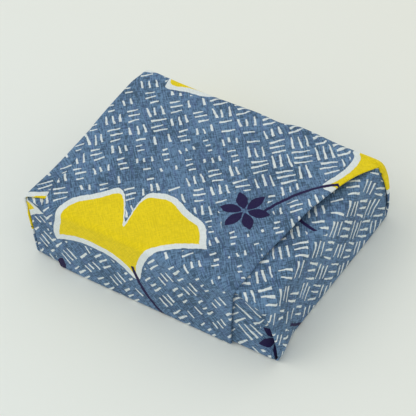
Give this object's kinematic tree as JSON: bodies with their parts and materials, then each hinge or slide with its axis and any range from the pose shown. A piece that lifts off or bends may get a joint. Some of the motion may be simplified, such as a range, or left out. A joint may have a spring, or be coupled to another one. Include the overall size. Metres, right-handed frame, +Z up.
{
  "type": "furoshiki wrap",
  "caption": "Flat cloth wrap folded round a box-shaped space, its last corner brought over the top and tucked underneath, with no knot.",
  "frame": {"origin": "middle of the parcel's footprint, on the surface that it rests on", "axes": "+X along the parcel's length towards the end where the last flap's edge stands back from the corner, -Y out of the front that the last flap comes down, +Z up"},
  "size_m": [0.1824, 0.1324, 0.0512],
  "materials": {
    "printed_cotton": "matt plain-weave cotton, slate blue with a white, yellow and dark violet print"
  },
  "bodies": {
    "root": {"furoshiki_cloth": "printed_cotton"}
  },
  "joints": []
}
